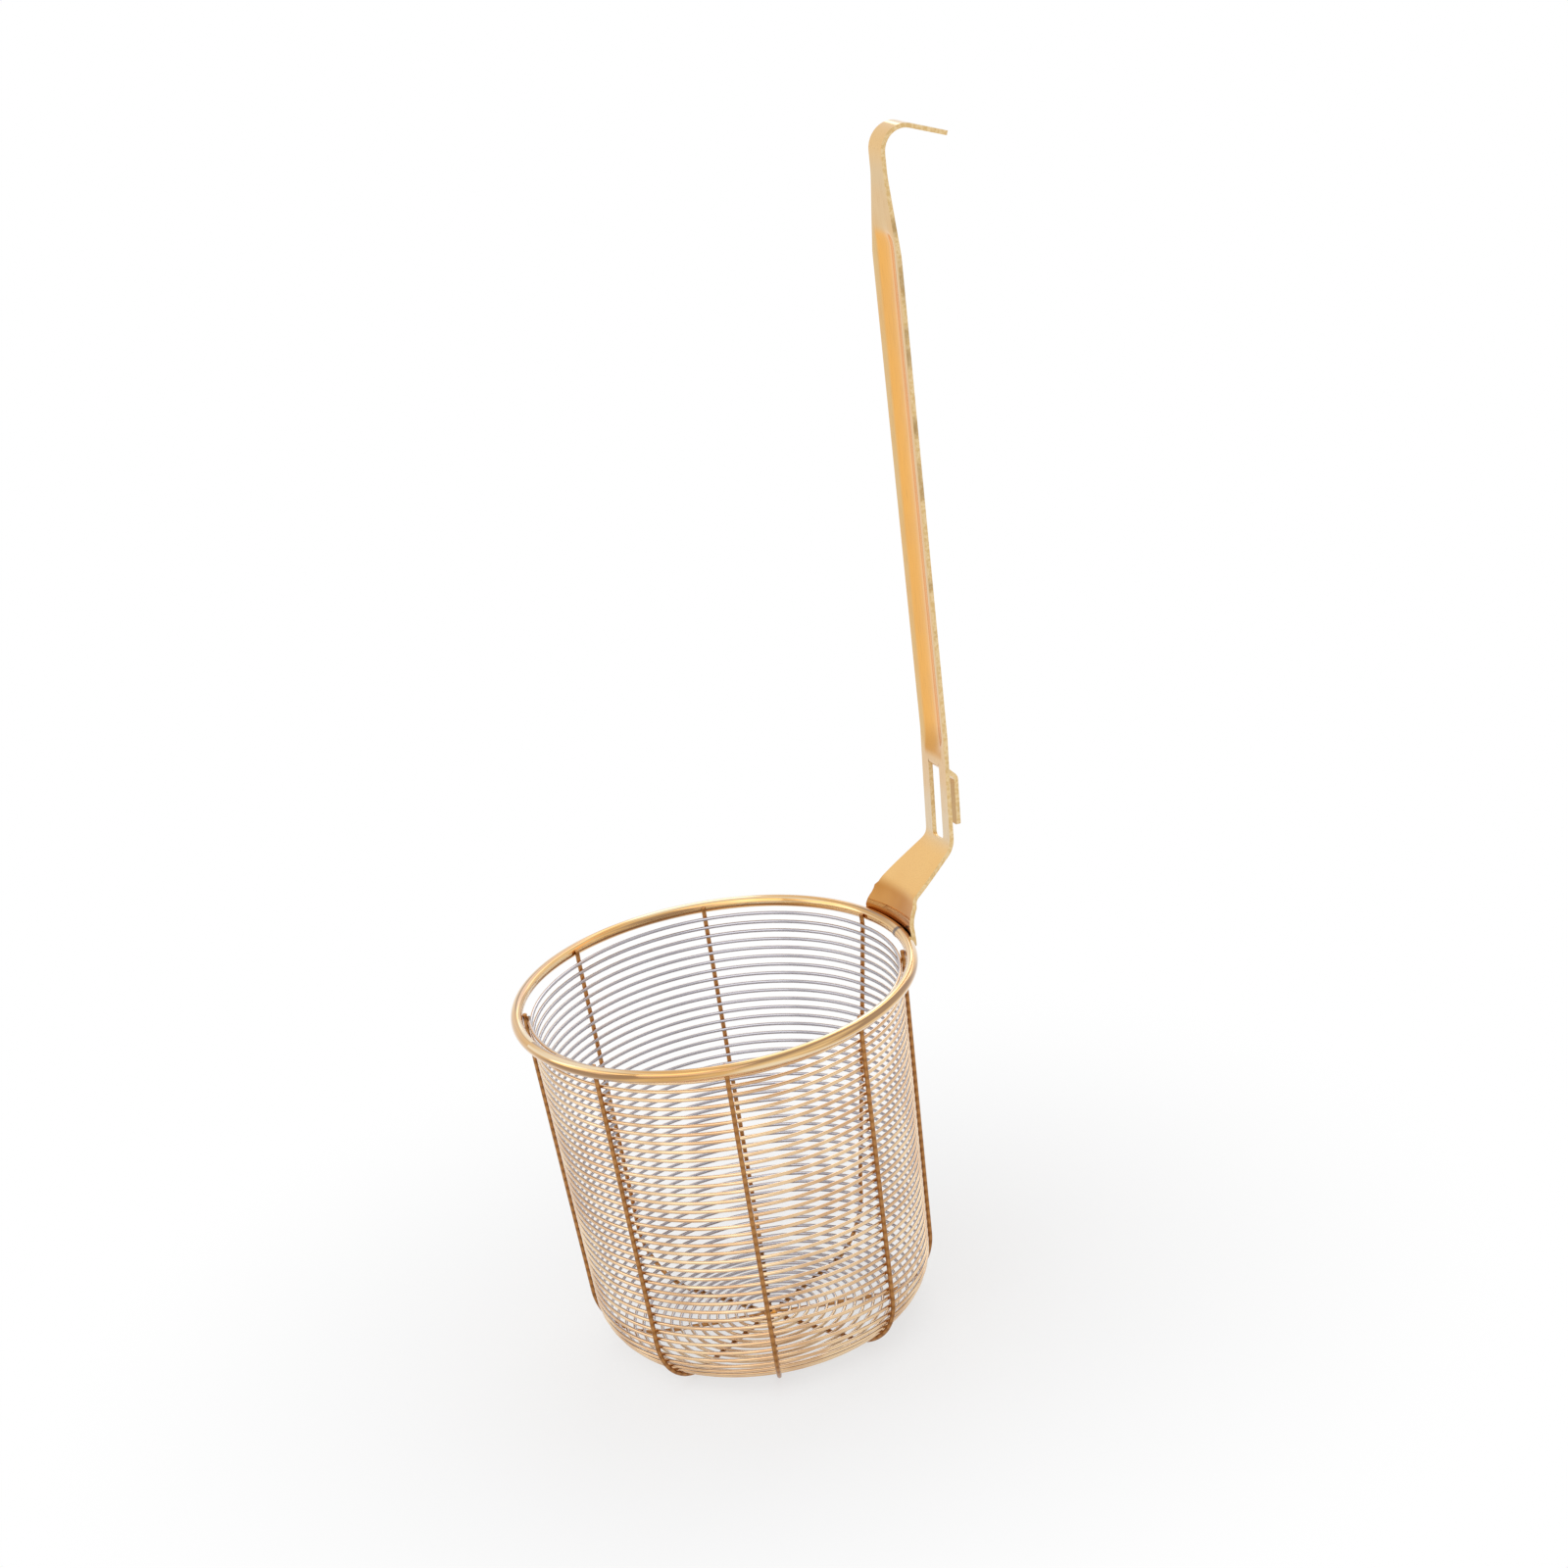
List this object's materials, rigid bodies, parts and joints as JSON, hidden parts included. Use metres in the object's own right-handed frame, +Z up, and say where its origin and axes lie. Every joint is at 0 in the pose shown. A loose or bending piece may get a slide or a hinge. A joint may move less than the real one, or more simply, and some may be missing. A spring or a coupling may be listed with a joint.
{
  "type": "long-handled strainer",
  "caption": "Deep round wire noodle strainer with a thick rim ring, spiral-wound basket and a long upright strip handle with pot hook and hanging hook.",
  "frame": {"origin": "centre of the basket's underside, where the crossing ribs rest on the table", "axes": "+Z up along the basket's axis and the handle, +X from the basket's axis to the handle"},
  "size_m": [0.1941, 0.1342, 0.385],
  "materials": {
    "ring_steel": "polished, gold titanium coating",
    "rib_steel": "drawn wire, gold titanium coating",
    "thin_wire_steel": "drawn wire, gold titanium coating",
    "strip_steel": "polished sheet, gold titanium coating"
  },
  "bodies": {
    "root": {"rim_ring": "ring_steel", "rib_1": "rib_steel", "rib_2": "rib_steel", "rib_3": "rib_steel", "rib_4": "rib_steel", "spiral_wire": "thin_wire_steel", "handle": "strip_steel"}
  },
  "joints": []
}
